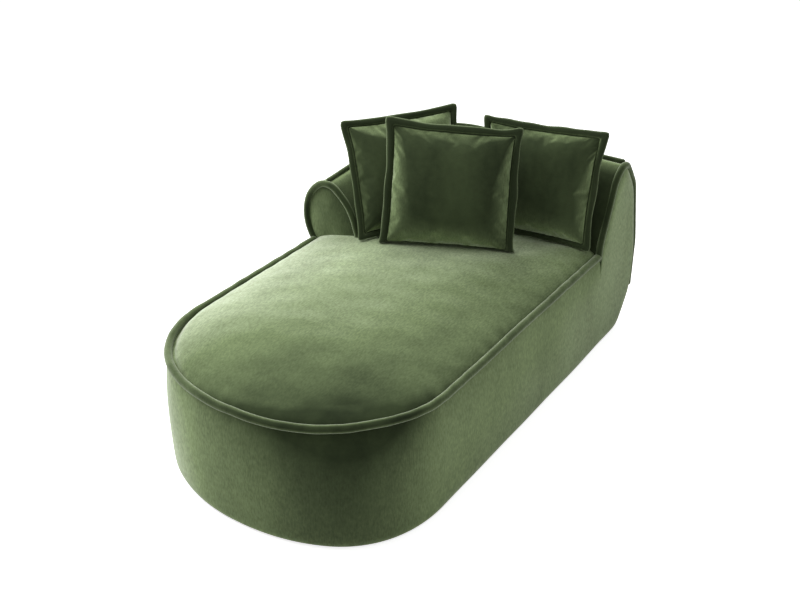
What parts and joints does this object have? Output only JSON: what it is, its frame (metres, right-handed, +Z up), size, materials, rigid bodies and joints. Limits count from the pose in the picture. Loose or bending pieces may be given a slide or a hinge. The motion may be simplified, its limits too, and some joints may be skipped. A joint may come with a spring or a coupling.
{
  "type": "chaise sofa",
  "caption": "Upholstered velvet chaise with a round nose, crowned seat, thick piping, a backrest that wraps into one low arm, a flat open side and loose flanged cushions.",
  "frame": {"origin": "on the floor under the middle of the chaise's bounding box", "axes": "+Y from the round nose to the back, +X to the flat open side, +Z up"},
  "size_m": [0.9584, 1.72, 0.883],
  "materials": {
    "velvet": "dark green velvet with a soft sheen",
    "velvet_edge": "dark green velvet on cord and flange edges",
    "foam": "cut polyurethane foam",
    "filling": "fibre filled cushion insert",
    "lining": "black non-woven lining",
    "webbing": "woven elastic webbing",
    "board": "sawn plywood and pine",
    "glide": "matte black",
    "steel": "zinc plated"
  },
  "bodies": {
    "chaise": {"arm_deck": "board", "arm_face_foam": "foam", "arm_foam": "foam", "arm_front_panel": "velvet", "arm_front_rib": "board", "arm_piping": "velvet_edge", "arm_top_rail": "board", "back_foam": "foam", "back_ribs": "board", "back_top_rail": "board", "base_posts": "board", "border_cover": "velvet", "border_foam": "foam", "bottom_ring": "board", "corner_foam": "foam", "corner_ribs": "board", "cross_rails": "board", "deck_ring": "board", "dust_cover": "lining", "end_piping": "velvet_edge", "floor_glides": "glide", "glide_screws": "steel", "inside_arm": "velvet", "inside_back": "velvet", "inside_corner": "velvet", "left_panel": "board", "nose_panel": "board", "outside_arm": "velvet", "outside_back": "velvet", "outside_corner": "velvet", "platform_cloth": "lining", "rear_border_foam": "foam", "rear_deck": "board", "rear_panel": "board", "rib_screws": "steel", "ridge_piping": "velvet_edge", "right_end_rib": "board", "right_panel": "board", "seat_cover": "velvet", "seat_foam": "foam", "seat_piping": "velvet_edge", "seat_topper": "foam", "side_foam": "foam", "side_panel": "velvet", "webbing_across": "webbing", "webbing_along": "webbing"},
    "left_cushion": {"cushion_left_cover": "velvet", "cushion_left_insert": "filling", "cushion_left_flange": "velvet_edge"},
    "middle_cushion": {"cushion_middle_cover": "velvet", "cushion_middle_insert": "filling", "cushion_middle_flange": "velvet_edge"},
    "right_cushion": {"cushion_right_cover": "velvet", "cushion_right_insert": "filling", "cushion_right_flange": "velvet_edge"}
  },
  "joints": [
    {"name": "lift_left_cushion", "type": "slide", "parent": "chaise", "child": "left_cushion", "axis": [-0.332, 0.2069, 0.9203], "range_m": [0, 0.5]},
    {"name": "lift_middle_cushion", "type": "slide", "parent": "chaise", "child": "middle_cushion", "axis": [0.2877, -0.4886, 0.8237], "range_m": [0, 0.45]},
    {"name": "lift_right_cushion", "type": "slide", "parent": "chaise", "child": "right_cushion", "axis": [0.0095, 0.1523, 0.9883], "range_m": [0, 0.5]}
  ]
}
